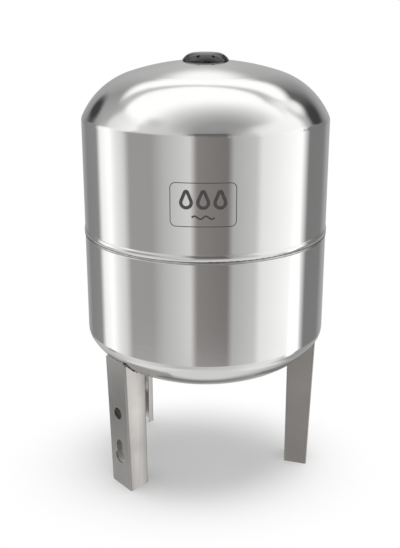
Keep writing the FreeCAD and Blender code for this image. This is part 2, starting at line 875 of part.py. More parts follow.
os.makedirs("parts", exist_ok=True)
pieces = [item for item in doc.Objects if item.TypeId == "PartDesign::Body"]
for piece in pieces:
    shape = piece.Shape
    if shape.isNull() or not shape.isValid() or not shape.Solids:
        raise RuntimeError("bad shape: " + piece.Label)
for piece in pieces:
    piece.Shape.exportStep(os.path.join("parts", piece.Label + ".step"))
    print(piece.Label, len(piece.Shape.Solids), round(piece.Shape.Volume, 1))
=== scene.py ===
import math
import bmesh
import bpy
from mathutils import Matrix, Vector
from mathutils.bvhtree import BVHTree


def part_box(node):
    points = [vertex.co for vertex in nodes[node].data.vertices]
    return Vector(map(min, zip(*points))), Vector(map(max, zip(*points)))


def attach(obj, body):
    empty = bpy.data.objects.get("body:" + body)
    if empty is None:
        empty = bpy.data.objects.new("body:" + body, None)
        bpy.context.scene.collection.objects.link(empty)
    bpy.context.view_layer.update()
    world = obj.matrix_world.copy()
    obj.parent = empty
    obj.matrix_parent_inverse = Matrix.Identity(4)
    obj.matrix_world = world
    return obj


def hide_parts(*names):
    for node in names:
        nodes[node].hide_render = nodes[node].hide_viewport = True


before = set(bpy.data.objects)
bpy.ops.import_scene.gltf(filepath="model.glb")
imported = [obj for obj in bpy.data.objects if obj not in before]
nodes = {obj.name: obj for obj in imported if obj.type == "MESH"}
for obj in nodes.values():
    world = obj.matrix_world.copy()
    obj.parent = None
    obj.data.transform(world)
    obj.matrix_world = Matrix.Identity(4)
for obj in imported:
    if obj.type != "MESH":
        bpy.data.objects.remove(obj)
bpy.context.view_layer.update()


# The camera: it stands 1.6 m in front of the tank, a little higher than its top, and looks down.
# Its lens and place were fitted to the outlines of the wall, the heads and the feet.

PICTURE_HEIGHT = 548
OPTICAL_ROW = 240
FOCAL_PIXELS = 852.7
SENSOR_LONG_SIDE = 36
CAMERA_PLACE = Vector((-0.0105, -1.6246, 0.9468))
CAMERA_PITCH = math.radians(16.485)


def placed(name, shape):
    """Put a mesh, a lens or a lamp into the scene as an object."""
    made = bpy.data.objects.new(name, shape)
    bpy.context.scene.collection.objects.link(made)
    return made


lens = bpy.data.cameras.new("picture_camera")
lens.sensor_fit = "AUTO"
lens.sensor_width = SENSOR_LONG_SIDE
lens.lens = FOCAL_PIXELS * SENSOR_LONG_SIDE / PICTURE_HEIGHT
lens.shift_y = (OPTICAL_ROW - PICTURE_HEIGHT / 2) / PICTURE_HEIGHT
camera = placed("picture_camera", lens)
camera.location = CAMERA_PLACE
camera.rotation_euler = (math.pi / 2 - CAMERA_PITCH, 0, 0)
bpy.context.scene.camera = camera
bpy.context.scene.view_settings.view_transform = "Standard"


# The studio: a white room with softboxes left and right and overhead, and dark flags between them.
# Bright steel shows only its surroundings, so the room is drawn by bearing and by height.

# each panel runs from one bearing to the next, 0 towards the camera and 90 to its right,
# and its brightness, or colour where it is warm, changes evenly from the first value to the second
PANELS_AT_EYE_LEVEL = {
    "far_wall_left": (-180, -150, 0.50, 0.36),
    "left_flag": (-142, -118, 0.27, 0.31),
    "left_softbox": (-111, -98, 1.12, 1.36),
    "left_softbox_edge": (-90, -80, 1.03, 0.80),
    "left_card": (-73, -50, (0.40, 0.39, 0.383), (0.395, 0.385, 0.378)),
    "left_window": (-38, -14, 0.57, 0.80),
    "camera_flag": (-8, 20, (0.288, 0.268, 0.262), (0.226, 0.211, 0.207)),
    "right_card": (25, 46, 0.52, 0.68),
    "right_softbox": (52, 97, 0.97, 1.34),
    "right_flag": (108, 136, 0.24, 0.24),
    "far_wall_right": (150, 180, 0.42, 0.50),
}
PANELS_HIGHER_UP = {
    "far_wall_left": (-180, -150, 0.60, 0.42),
    "left_flag": (-142, -112, 0.36, 0.50),
    "left_softbox": (-104, -76, 0.92, 1.17),
    "left_card": (-69, -22, 0.82, 0.68),
    "camera_flag": (-10, 19, (0.173, 0.162, 0.159), (0.153, 0.143, 0.141)),
    "right_card": (25, 45, 0.40, 0.76),
    "right_softbox": (52, 102, 1.02, 1.25),
    "right_flag": (111, 119, 0.54, 0.60),
    "right_flag_far": (130, 140, 0.13, 0.14),
    "far_wall_right": (150, 180, 0.29, 0.60),
}
GROUND_FAR = {
    "behind_left": (-180, -98, 0.42, 0.72),
    "left": (-74, -50, 0.84, 0.74),
    "front": (-30, 25, 0.60, 0.70),
    "right": (50, 74, 0.88, 0.97),
    "behind_right": (104, 180, 0.38, 0.48),
}
GROUND_NEAR = {
    "tank_shadow_left": (-180, -150, 0.22, 0.22),
    "left": (-112, -50, 0.90, 0.88),
    "front": (-10, 30, 0.78, 0.76),
    "right": (66, 112, 0.95, 0.92),
    "tank_shadow_right": (158, 180, 0.30, 0.22),
}
# heights are those of a direction, 0 level and 1 straight up, and each pair is where one part of
# the room passes into the next
GROUND_BELOW = 0.79
GROUND_EDGE = (-0.46, -0.42)
GROUND_MIDDLE = (-0.82, -0.70)
GROUND_FADE = (-0.97, -0.88)
HIGHER_PANELS = (0.08, 0.40)
CEILING_EDGE = (0.59, 0.70)
CEILING_TILT = 0.025
DARK_CEILING_CENTRE = (0.147, -0.562, 0.553)
DARK_CEILING_SHAPE = (0.82, 1.0, 1.17)
DARK_CEILING_STOPS = [(0.0, 0.39), (0.30, 0.39), (0.45, 0.57), (0.60, 0.86), (0.75, 1.24), (0.82, 1.32)]
# the hoop is a thin darker ring on the ceiling, which widens and fades to the sides
CEILING_HOOP_CENTRE = (-0.13, -0.50, 0)
CEILING_HOOP_RADIUS = 1.02
CEILING_HOOP_EDGE = (0.008, 0.045)
CEILING_HOOP_TONE = 0.62
CEILING_HOOP_SPREAD = 2.4
CEILING_HOOP_BEND = 0.53
CEILING_HOOP_FLARE = -0.62
CEILING_HOOP_END = (0.46, 0.66)
CEILING_HOOP_LOSS = 0.62
# each spot is a lamp or a flag in one direction: its place, its shape, where it fades, its tone
SPOTS = {
    "left_corner_flag": ((-0.64, 0.71, 0.27), (1.0, 1.0, 1.4), (0.10, 0.26), 0.06),
    "right_corner_flag": ((0.755, 0.575, 0.30), (1.0, 1.0, 1.1), (0.10, 0.27), 0.06),
    "left_ceiling_flag": ((-0.60, -0.37, 0.70), (0.8, 1.0, 1.6), (0.03, 0.24), 0.70),
    "rear_lamp": ((0.0, 0.78, 0.63), (1.0, 1.0, 1.0), (0.05, 0.24), 1.25),
    "right_lamp": ((0.72, 0.40, 0.57), (1.0, 1.0, 1.0), (0.05, 0.20), 1.15),
    "right_floor_lamp": ((0.90, 0.05, -0.43), (1.0, 1.3, 0.8), (0.06, 0.20), 1.75),
    "left_floor_flag": ((-0.84, 0.25, -0.48), (1.0, 1.0, 2.2), (0.05, 0.15), 0.30),
}
ROOM_LIGHT = 0.80
OVERHEAD_SIZE = 1.5
OVERHEAD_PLACE = Vector((0.1, -0.15, 2.6))
OVERHEAD_POWER = 22


def add(tree, kind, inputs=None, **settings):
    """Add a node, set its options, and fill or link its inputs."""
    made = tree.nodes.new(kind)
    for name, setting in settings.items():
        setattr(made, name, setting)
    for socket, source in (inputs or {}).items():
        if isinstance(source, bpy.types.NodeSocket):
            tree.links.new(source, made.inputs[socket])
        else:
            made.inputs[socket].default_value = source
    return made


def maths(tree, operation, *terms):
    return add(tree, "ShaderNodeMath", dict(enumerate(terms)), operation=operation).outputs[0]


def vector_maths(tree, operation, *terms):
    made = add(tree, "ShaderNodeVectorMath", dict(enumerate(terms)), operation=operation)
    return made.outputs["Value" if operation in ("LENGTH", "DOT_PRODUCT") else "Vector"]


def grey(tone):
    return (tone, tone, tone, 1)


def ramp(tree, factor, stops):
    """A colour ramp through (position, grey or colour) stops."""
    made = add(tree, "ShaderNodeValToRGB", {"Fac": factor})
    band = made.color_ramp
    while len(band.elements) < len(stops):
        band.elements.new(1.0)
    for element, (position, tone) in zip(band.elements, stops):
        element.position = position
        element.color = (*tone, 1) if isinstance(tone, tuple) else grey(tone)
    return made.outputs["Color"]


def panel_ramp(tree, bearing, panels):
    """The panels' tones by bearing, which passes evenly from each panel to the next."""
    stops = []
    for start, end, first, second in panels.values():
        stops += [((start + 180) / 360, first), ((end + 180) / 360, second)]
    return ramp(tree, bearing, stops)


def mix(tree, factor, first, second):
    """Blend two colours; the node's colour sockets are 6 and 7 going in and 2 coming out."""
    made = add(tree, "ShaderNodeMix", {"Factor": factor, 6: first, 7: second}, data_type="RGBA")
    return made.outputs[2]


def step(tree, source, low, high):
    """0 below the first value and 1 above the second, eased between them."""
    made = add(tree, "ShaderNodeMapRange", {"Value": source, "From Min": low, "From Max": high},
               interpolation_type="SMOOTHSTEP")
    return made.outputs["Result"]


def distance_from(tree, source, place, shape):
    """How far a vector is from a place, in a space stretched by the shape."""
    apart = vector_maths(tree, "SUBTRACT", source, place)
    return vector_maths(tree, "LENGTH", vector_maths(tree, "MULTIPLY", apart, shape))


room = bpy.data.worlds.new("studio_room")
room.use_nodes = True
room.cycles.sampling_method = "NONE"
bpy.context.scene.world = room
tree = room.node_tree
tree.nodes.clear()
towards = add(tree, "ShaderNodeTexCoord").outputs["Generated"]
split = add(tree, "ShaderNodeSeparateXYZ", {0: towards}).outputs
to_right, to_back, height = split["X"], split["Y"], split["Z"]
turn = maths(tree, "ARCTAN2", to_right, maths(tree, "MULTIPLY", to_back, -1.0))
bearing = maths(tree, "MULTIPLY_ADD", turn, 1 / (2 * math.pi), 0.5)

eye_level = panel_ramp(tree, bearing, PANELS_AT_EYE_LEVEL)
higher_up = panel_ramp(tree, bearing, PANELS_HIGHER_UP)
walls = mix(tree, step(tree, height, *HIGHER_PANELS), eye_level, higher_up)

dark_distance = distance_from(tree, towards, DARK_CEILING_CENTRE, DARK_CEILING_SHAPE)
ceiling = ramp(tree, dark_distance, DARK_CEILING_STOPS)
hoop_distance = distance_from(tree, towards, CEILING_HOOP_CENTRE, (1, 1, 0))
past_bend = maths(tree, "MAXIMUM", maths(tree, "SUBTRACT", to_right, CEILING_HOOP_BEND), 0.0)
hoop_distance = maths(tree, "MULTIPLY_ADD", past_bend, CEILING_HOOP_FLARE, hoop_distance)
off_hoop = maths(tree, "ABSOLUTE", maths(tree, "SUBTRACT", hoop_distance, CEILING_HOOP_RADIUS))
aside = maths(tree, "ABSOLUTE", to_right)
hoop_width = maths(tree, "MULTIPLY_ADD", aside, CEILING_HOOP_SPREAD, 1.0)
off_hoop = maths(tree, "DIVIDE", off_hoop, hoop_width)
hoop_loss = maths(tree, "MULTIPLY", step(tree, to_right, *CEILING_HOOP_END), CEILING_HOOP_LOSS)
clear_of_hoop = maths(tree, "MAXIMUM", step(tree, off_hoop, *CEILING_HOOP_EDGE), hoop_loss)
ceiling = mix(tree, clear_of_hoop, grey(CEILING_HOOP_TONE), ceiling)
tilted_height = maths(tree, "MULTIPLY_ADD", to_back, CEILING_TILT, height)
upper_room = mix(tree, step(tree, tilted_height, *CEILING_EDGE), walls, ceiling)

ground_far = panel_ramp(tree, bearing, GROUND_FAR)
ground_near = panel_ramp(tree, bearing, GROUND_NEAR)
ground = mix(tree, step(tree, height, *GROUND_MIDDLE), ground_near, ground_far)
ground = mix(tree, step(tree, height, *GROUND_FADE), grey(GROUND_BELOW), ground)
reflected = mix(tree, step(tree, height, *GROUND_EDGE), ground, upper_room)
for place, shape, fade, tone in SPOTS.values():
    clear = step(tree, distance_from(tree, towards, place, shape), *fade)
    reflected = mix(tree, clear, grey(tone), reflected)

path = add(tree, "ShaderNodeLightPath").outputs
lit = mix(tree, path["Is Glossy Ray"], grey(ROOM_LIGHT), reflected)
clear_view = maths(tree, "MAXIMUM", path["Is Camera Ray"], path["Is Transmission Ray"])
seen = mix(tree, clear_view, lit, grey(1.0))
surround = add(tree, "ShaderNodeBackground", {"Color": seen, "Strength": 1.0})
add(tree, "ShaderNodeOutputWorld", {"Surface": surround.outputs[0]})

overhead = bpy.data.lights.new("overhead_softbox", "AREA")
overhead.size = OVERHEAD_SIZE
overhead.energy = OVERHEAD_POWER
overhead_lamp = placed("overhead_softbox", overhead)
overhead_lamp.location = OVERHEAD_PLACE
overhead_lamp.rotation_euler = (-OVERHEAD_PLACE).to_track_quat("-Z", "Y").to_euler()
overhead_lamp.visible_glossy = False


# The floor: smooth white paint, on which the tank stands on its three feet.
# It fades into the white background away from the tank, and keeps the tank's shadow near it.

FLOOR_REACH = 6
FLOOR_TONE = 0.95
FADE_CENTRE = (-0.03, -0.05, 0)
FADE_SHAPE = (1.0, 1.35, 1.0)
FADE = (0.10, 0.42)


def new_finish(name):
    """A material, its empty tree, and the place on the piece that its patterns follow."""
    finish = bpy.data.materials.new(name)
    finish.use_nodes = True
    tree = finish.node_tree
    tree.nodes.clear()
    return finish, tree, add(tree, "ShaderNodeTexCoord").outputs["Object"]


floor_mesh = bpy.data.meshes.new("floor")
corners = [(x * FLOOR_REACH, y * FLOOR_REACH, 0) for x, y in ((-1, -1), (1, -1), (1, 1), (-1, 1))]
floor_mesh.from_pydata(corners, [], [(0, 1, 2, 3)])
floor = placed("floor", floor_mesh)
floor.visible_glossy = False
paint, tree, place = new_finish("floor_paint")
fade = step(tree, distance_from(tree, place, FADE_CENTRE, FADE_SHAPE), *FADE)
path = add(tree, "ShaderNodeLightPath").outputs
faded = maths(tree, "MULTIPLY", fade, path["Is Camera Ray"])
coat = add(tree, "ShaderNodeBsdfDiffuse", {"Color": grey(FLOOR_TONE)})
glow = add(tree, "ShaderNodeEmission", {"Color": grey(1.0), "Strength": 1.0})
blend = add(tree, "ShaderNodeMixShader", {0: faded, 1: coat.outputs[0], 2: glow.outputs[0]})
add(tree, "ShaderNodeOutputMaterial", {"Surface": blend.outputs[0]})
floor_mesh.materials.append(paint)


# The two half shells: stainless sheet, deep-drawn, then brushed in rings on a lathe.
# The lines run round the wall and go on as rings over the heads, and they spread highlights upwards.
# The upper shell laps over the lower one, and its lip is rolled to a rounded ridge.

SHELL_TONES = (0.775, 0.775, 0.77, 1), (0.75, 0.748, 0.74, 1)
SHELL_ROUGHNESS = (0.08, 0.12)
SHELL_RELIEF = 0.06
HANDLING_PATCHES = 7.0
HANDLING_ROUGHNESS = (-0.01, 0.015)
LINE_PITCH = 900
LINE_LENGTH = 4
LINE_SPREAD = 0.75
ALONG_RINGS = 0.25
RELIEF_DEPTH = 0.0002
NOISE_LOW = 0.3
NOISE_HIGH = 0.7
LIP_HEIGHT = 0.012
LIP_CROWN = 0.007
LIP_CURVE = 38
seam_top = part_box("upper_shell")[0].z


def squared(tree, source):
    return maths(tree, "MULTIPLY", source, source)


def height_of(tree, place):
    return add(tree, "ShaderNodeSeparateXYZ", {0: place}).outputs["Z"]


def off_axis(tree, place):
    """The distance from the tank's axis."""
    return vector_maths(tree, "LENGTH", vector_maths(tree, "MULTIPLY", place, (1, 1, 0)))


def noise(tree, vector, scale, detail=2.0):
    return add(tree, "ShaderNodeTexNoise",
               {"Vector": vector, "Scale": scale, "Detail": detail}).outputs["Fac"]


def between(tree, source, low, high):
    """Stretch a noise value over a range."""
    made = add(tree, "ShaderNodeMapRange", {
        "Value": source, "From Min": NOISE_LOW, "From Max": NOISE_HIGH, "To Min": low, "To Max": high})
    return made.outputs["Result"]


def clouded(tree, source, tones):
    """A tone that wanders between two with a noise value."""
    return mix(tree, between(tree, source, 0.0, 1.0), *tones)


def relief(tree, source, strength, depth=RELIEF_DEPTH, over=None):
    """Bumps from a height, laid over other bumps where there are some."""
    inputs = {"Strength": strength, "Distance": depth, "Height": source}
    if over:
        inputs["Normal"] = over
    return add(tree, "ShaderNodeBump", inputs).outputs[0]


def finished(finish, inputs):
    """Close a finish with its surface shader."""
    surface = add(finish.node_tree, "ShaderNodeBsdfPrincipled", inputs)
    add(finish.node_tree, "ShaderNodeOutputMaterial", {"Surface": surface.outputs[0]})
    return finish


def spun_steel(name, rise):
    """Brushed steel sheet; rise is the sign with which height grows as the radius shrinks."""
    finish, tree, place = new_finish(name)
    height = height_of(tree, place)
    run = maths(tree, "MULTIPLY_ADD", off_axis(tree, place), -rise, height)
    lift = add(tree, "ShaderNodeCombineXYZ", {"Z": maths(tree, "MULTIPLY", run, LINE_PITCH)})
    around = vector_maths(tree, "MULTIPLY", place, (LINE_LENGTH, LINE_LENGTH, 0))
    lines = noise(tree, vector_maths(tree, "ADD", around, lift.outputs[0]), 1.0, 3.0)
    handling = noise(tree, place, HANDLING_PATCHES, 3.0)
    rough = maths(tree, "ADD", between(tree, lines, *SHELL_ROUGHNESS),
                  between(tree, handling, *HANDLING_ROUGHNESS))
    above_seam = maths(tree, "SUBTRACT", height, seam_top)
    on_lip = maths(tree, "MINIMUM", maths(tree, "MAXIMUM", above_seam, 0.0), LIP_HEIGHT)
    off_crown = maths(tree, "SUBTRACT", on_lip, LIP_CROWN)
    swell = maths(tree, "MULTIPLY", squared(tree, off_crown), -LIP_CURVE)
    ridge = relief(tree, swell, 1.0, depth=1.0)
    return finished(finish, {
        "Base Color": clouded(tree, handling, SHELL_TONES), "Metallic": 1.0, "Roughness": rough,
        "Anisotropic": LINE_SPREAD, "Anisotropic Rotation": ALONG_RINGS,
        "Tangent": vector_maths(tree, "CROSS_PRODUCT", (0, 0, 1), place),
        "Normal": relief(tree, lines, SHELL_RELIEF, over=ridge)})


def dress(name, finish):
    """Give a piece of the frame its finish."""
    mesh = nodes[name].data
    mesh.materials.clear()
    mesh.materials.append(finish)


dress("upper_shell", spun_steel("upper_shell_brushed", 1))
dress("lower_shell", spun_steel("lower_shell_brushed", -1))


# The seam weld: a bead laid under the lip by a turning machine, then wire brushed.
# Its ripples are the edges of the overlapping weld pools, and the heat has dulled the steel.
# Along the bead's lower edge it is darker still, as painted shade under the bead.

BEAD_RADIUS = 0.0024
BEAD_SINK = 0.0013
BEAD_DROP = 0.0023
BEAD_SIDES = 12
RIPPLE_PITCH = 0.0015
RIPPLE_HEIGHT = 0.00003
STEPS_A_RIPPLE = 4
SEAM_POINTS = 720
WELD_TONES = (0.56, 0.55, 0.53, 1), (0.44, 0.43, 0.41, 1)
WELD_ROUGHNESS = (0.17, 0.26)
WELD_SCALE = 90.0
WELD_GRAIN = 900.0
WELD_RELIEF = 0.08
# the bead's lower edge is darkened to this tone as painted shade under the bead
UNDER_BEAD_SHADE_TONE = (0.21, 0.20, 0.19, 1)
UNDER_BEAD_SHADE_EDGE = (0.0008, 0.0016)
wall_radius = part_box("lower_shell")[1].x
seam_height = seam_top - BEAD_DROP


def new_maker(name, sizes, result):
    """An empty geometry tree with named inputs and one result."""
    tree = bpy.data.node_groups.new(name, "GeometryNodeTree")
    for size, kind in sizes.items():
        tree.interface.new_socket(size, in_out="INPUT", socket_type="NodeSocket" + kind)
    tree.interface.new_socket(result, in_out="OUTPUT", socket_type="NodeSocketGeometry")
    return tree, add(tree, "NodeGroupInput").outputs


def close_maker(tree, shape, finish, result):
    """End a geometry tree with real geometry in its finish."""
    real = add(tree, "GeometryNodeRealizeInstances", {"Geometry": shape})
    coloured = add(tree, "GeometryNodeSetMaterial", {
        "Geometry": real.outputs[0], "Material": finish})
    add(tree, "NodeGroupOutput", {result: coloured.outputs[0]})
    return tree


def bead_maker():
    """Geometry nodes that turn a curve into a rippled weld bead."""
    tree, given = new_maker("weld_bead", {
        "Path": "Geometry", "Bead Radius": "Float", "Ripple Pitch": "Float",
        "Ripple Height": "Float", "Finish": "Material"}, "Bead")
    pitch = given["Ripple Pitch"]
    steps = add(tree, "GeometryNodeResampleCurve", {
        "Curve": given["Path"], "Length": maths(tree, "DIVIDE", pitch, STEPS_A_RIPPLE)}, mode="LENGTH")
    along = add(tree, "GeometryNodeSplineParameter").outputs["Length"]
    phase = maths(tree, "DIVIDE", maths(tree, "MULTIPLY", along, 2 * math.pi), pitch)
    swell = maths(tree, "DIVIDE", given["Ripple Height"], given["Bead Radius"])
    scale = maths(tree, "MULTIPLY_ADD", maths(tree, "SINE", phase), swell, 1.0)
    thick = add(tree, "GeometryNodeSetCurveRadius", {"Curve": steps.outputs[0], "Radius": scale})
    ring = add(tree, "GeometryNodeCurvePrimitiveCircle",
               {"Resolution": BEAD_SIDES, "Radius": given["Bead Radius"]}, mode="RADIUS")
    swept = add(tree, "GeometryNodeCurveToMesh", {
        "Curve": thick.outputs[0], "Profile Curve": ring.outputs[0], "Fill Caps": True})
    smooth = add(tree, "GeometryNodeSetShadeSmooth", {"Geometry": swept.outputs[0]})
    return close_maker(tree, smooth.outputs[0], given["Finish"], "Bead")


def made_from(start, maker_tree, sizes, name):
    """Run a geometry tree on a curve or mesh, and keep what it makes as a plain mesh."""
    guide = placed(name + "_guide", start)
    maker = guide.modifiers.new("maker", "NODES")
    maker.node_group = maker_tree
    for item in maker_tree.interface.items_tree:
        if item.name in sizes:
            maker[item.identifier] = sizes[item.name]
    view = bpy.context.evaluated_depsgraph_get()
    mesh = bpy.data.meshes.new_from_object(guide.evaluated_get(view))
    mesh.name = name
    bpy.data.objects.remove(guide)
    return placed(name, mesh)


def weld_bead(name, points, closed, radius, finish):
    """Lay one bead along a list of points."""
    curve = bpy.data.curves.new(name + "_path", "CURVE")
    curve.dimensions = "3D"
    spline = curve.splines.new("POLY")
    spline.points.add(len(points) - 1)
    for point, spot in zip(spline.points, points):
        point.co = (*spot, 1)
    spline.use_cyclic_u = closed
    return made_from(curve, BEAD_MAKER, {
        "Bead Radius": radius, "Ripple Pitch": RIPPLE_PITCH, "Ripple Height": RIPPLE_HEIGHT,
        "Finish": finish}, name)


def weld_finish():
    """Wire-brushed weld steel, dulled by the heat, with painted shade along the bead's lower edge."""
    finish, tree, place = new_finish("weld_brushed")
    scale = noise(tree, place, WELD_SCALE, 3.0)
    below = maths(tree, "SUBTRACT", seam_height, height_of(tree, place))
    # below the seam line the bead is darkened: painted shade along its underside
    in_under_bead_shade = step(tree, below, *UNDER_BEAD_SHADE_EDGE)
    return finished(finish, {
        "Base Color": mix(tree, in_under_bead_shade, clouded(tree, scale, WELD_TONES), UNDER_BEAD_SHADE_TONE),
        "Metallic": 1.0, "Roughness": between(tree, scale, *WELD_ROUGHNESS),
        "Normal": relief(tree, noise(tree, place, WELD_GRAIN), WELD_RELIEF)})


BEAD_MAKER = bead_maker()
WELD_FINISH = weld_finish()
seam_circle = []
for number in range(SEAM_POINTS):
    turn = 2 * math.pi * number / SEAM_POINTS
    reach = wall_radius - BEAD_SINK
    seam_circle.append((reach * math.cos(turn), reach * math.sin(turn), seam_height))
seam_bead = weld_bead("seam_bead", seam_circle, True, BEAD_RADIUS, WELD_FINISH)
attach(seam_bead, "root")
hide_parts("seam_weld")
dress("seam_weld", WELD_FINISH)


# The etched mark: an acid-etched frame on the front of the upper shell, with three water drops
# and a wave in it. The lines are a dark oxide skin a few hundredths of a millimetre thick.

MARK_CENTRE = (-0.0052, 0.5963)
FRAME_SIZE = (0.1136, 0.0757)
FRAME_CORNER = 0.0095
FRAME_LINE = 0.0014
DROP_CENTRE = 0.0092
DROP_SPACING = 0.0290
DROP_BELLY = 0.0090
DROP_TIP = 0.0026
DROP_RISE = 0.0168
DROP_LINE = 0.0058
WAVE_CENTRE = -0.0217
WAVE_LENGTH = 0.0390
WAVE_HEIGHT = 0.0025
WAVE_LINE = 0.0030
WAVE_STEPS = 48
SKIN = 0.00004
ARC_STEP = math.radians(10)
LONGEST_RUN = 0.003
SHORTEST_RUN = 1e-7
ETCH_TONES = (0.075, 0.072, 0.07, 1), (0.12, 0.116, 0.112, 1)
ETCH_METALLIC = 0.55
ETCH_ROUGHNESS = (0.38, 0.55)
ETCH_GRAIN = 260.0


def arc(centre, radius, start, end):
    count = max(2, round(abs(end - start) / ARC_STEP))
    for number in range(count + 1):
        turn = start + (end - start) * number / count
        yield centre[0] + radius * math.cos(turn), centre[1] + radius * math.sin(turn)


def frame_line():
    half_width = FRAME_SIZE[0] / 2 - FRAME_CORNER
    half_height = FRAME_SIZE[1] / 2 - FRAME_CORNER
    points = []
    for number, (x, y) in enumerate(((1, 1), (-1, 1), (-1, -1), (1, -1))):
        start = number * math.pi / 2
        points += arc((x * half_width, y * half_height), FRAME_CORNER, start, start + math.pi / 2)
    return points


def drop_line(across):
    """A round belly and a narrow tip joined by two straight flanks."""
    belly = (across, DROP_CENTRE - DROP_RISE / 2 + (DROP_BELLY - DROP_TIP) / 2)
    tip = (across, belly[1] + DROP_RISE)
    lean = math.asin((DROP_BELLY - DROP_TIP) / DROP_RISE)
    return [*arc(tip, DROP_TIP, lean, math.pi - lean),
            *arc(belly, DROP_BELLY, math.pi - lean, 2 * math.pi + lean)]


def wave_line():
    """Two full waves side by side."""
    return [(WAVE_LENGTH * (number / WAVE_STEPS - 0.5),
             WAVE_CENTRE + WAVE_HEIGHT * math.sin(4 * math.pi * number / WAVE_STEPS))
            for number in range(WAVE_STEPS + 1)]


def spread(points, closed):
    """Add points so that no run is longer than a few millimetres and the line follows the wall."""
    ends = points[1:] + points[:1] if closed else points[1:]
    result = []
    for start, end in zip(points, ends):
        gap = math.dist(start, end)
        if gap < SHORTEST_RUN:
            continue
        count = math.ceil(gap / LONGEST_RUN)
        result += [(start[0] + (end[0] - start[0]) * number / count,
                    start[1] + (end[1] - start[1]) * number / count) for number in range(count)]
    return result if closed else result + [points[-1]]


def etch(verts, faces, points, width, closed):
    """Add a closed strip of skin along a line drawn on the unrolled wall."""
    points = spread(points, closed)
    count = len(points)
    first = len(verts)
    for number, (across, up) in enumerate(points):
        before = points[(number - 1) % count if closed else max(number - 1, 0)]
        after = points[(number + 1) % count if closed else min(number + 1, count - 1)]
        along = Vector((after[0] - before[0], after[1] - before[1])).normalized()
        for side, depth in ((-1, -1), (1, -1), (1, 1), (-1, 1)):
            place = across + along.y * side * width / 2 + MARK_CENTRE[0]
            reach = wall_radius + depth * SKIN
            verts.append((reach * math.sin(place / wall_radius),
                          -reach * math.cos(place / wall_radius),
                          up - along.x * side * width / 2 + MARK_CENTRE[1]))
    for number in range(count if closed else count - 1):
        here = first + 4 * number
        there = first + 4 * ((number + 1) % count)
        for edge in range(4):
            near, far = edge, (edge + 1) % 4
            faces.append((here + near, there + near, there + far, here + far))
    if not closed:
        last = first + 4 * (count - 1)
        faces.append((first, first + 1, first + 2, first + 3))
        faces.append((last, last + 3, last + 2, last + 1))


def etched_finish():
    finish, tree, place = new_finish("etched_oxide")
    depth = noise(tree, place, ETCH_GRAIN, 4.0)
    return finished(finish, {
        "Base Color": clouded(tree, depth, ETCH_TONES), "Metallic": ETCH_METALLIC,
        "Roughness": between(tree, depth, *ETCH_ROUGHNESS)})


verts, faces = [], []
etch(verts, faces, frame_line(), FRAME_LINE, True)
for number in (-1, 0, 1):
    etch(verts, faces, drop_line(number * DROP_SPACING), DROP_LINE, True)
etch(verts, faces, wave_line(), WAVE_LINE, False)
mark_mesh = bpy.data.meshes.new("etched_mark")
mark_mesh.from_pydata(verts, [], faces)
mark_mesh.materials.append(etched_finish())
mark = placed("etched_mark", mark_mesh)
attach(mark, "root")


# The legs: stainless sheet folded to a channel, left as it came from the mill, and welded on inside.
# The rolling lines run down the leg, handling has dulled it in patches, and each side bows a little.
# The inside is given a paler tone, painted light that lifts the shade in the channel, and the weld is
# still blue from the heat.

# each leg's bearing and steel tone; the right leg's darker tone is painted shade
LEGS_WITH_SHADED_TONES = {
    "leg_front_left": (-50.2, (0.42, 0.405, 0.39)),
    "leg_right": (82.3, (0.355, 0.335, 0.318)),
    "leg_rear_left": (-129.0, (0.42, 0.405, 0.39)),
}
LEG_DULLING = grey(1.0), grey(0.88)
LEG_PATCHES = 14.0
LEG_ROUGHNESS = (0.16, 0.22)
LEG_HANDLING = (-0.02, 0.04)
LEG_RELIEF = 0.10
ROLLING_LINES = (700, 700, 6)
# the paler tone inside the channel is painted light that lifts its shade
INSIDE_PAINTED_LIGHT_TONE = (0.56, 0.55, 0.53, 1)
INSIDE_DULLNESS = 0.12
INSIDE_WEB = 0.0218
INSIDE_SIDE = 0.0277
INSIDE_LIP = -0.0217
FOOT_RADIUS = 0.215
LEG_LEAN = math.tan(math.radians(1.8))
LEG_SHEET = 0.002
SIDE_MIDDLE = FOOT_RADIUS - 0.0228
SIDE_CLOSING = math.tan(math.radians(9.5))
SIDE_BOW = 1.1
WEB_BOW = 0.25
LEG_WELD_RADIUS = 0.0022
LEG_WELD_HALF_LENGTH = 0.024
LEG_WELD_POINTS = 33
HEAT_PATCHES = 55.0
HEAT_TINTS = [(0.0, (0.46, 0.44, 0.40)), (0.4, (0.44, 0.34, 0.22)),
              (0.7, (0.24, 0.20, 0.26)), (1.0, (0.17, 0.21, 0.33))]
HEAT_ROUGHNESS = (0.28, 0.42)
HEAT_GRAIN = 800.0
HEAT_RELIEF = 0.2


def leg_directions(bearing):
    """The level directions out through a leg's web and along its width."""
    turn = math.radians(bearing)
    return Vector((math.sin(turn), -math.cos(turn), 0)), Vector((math.cos(turn), math.sin(turn), 0))


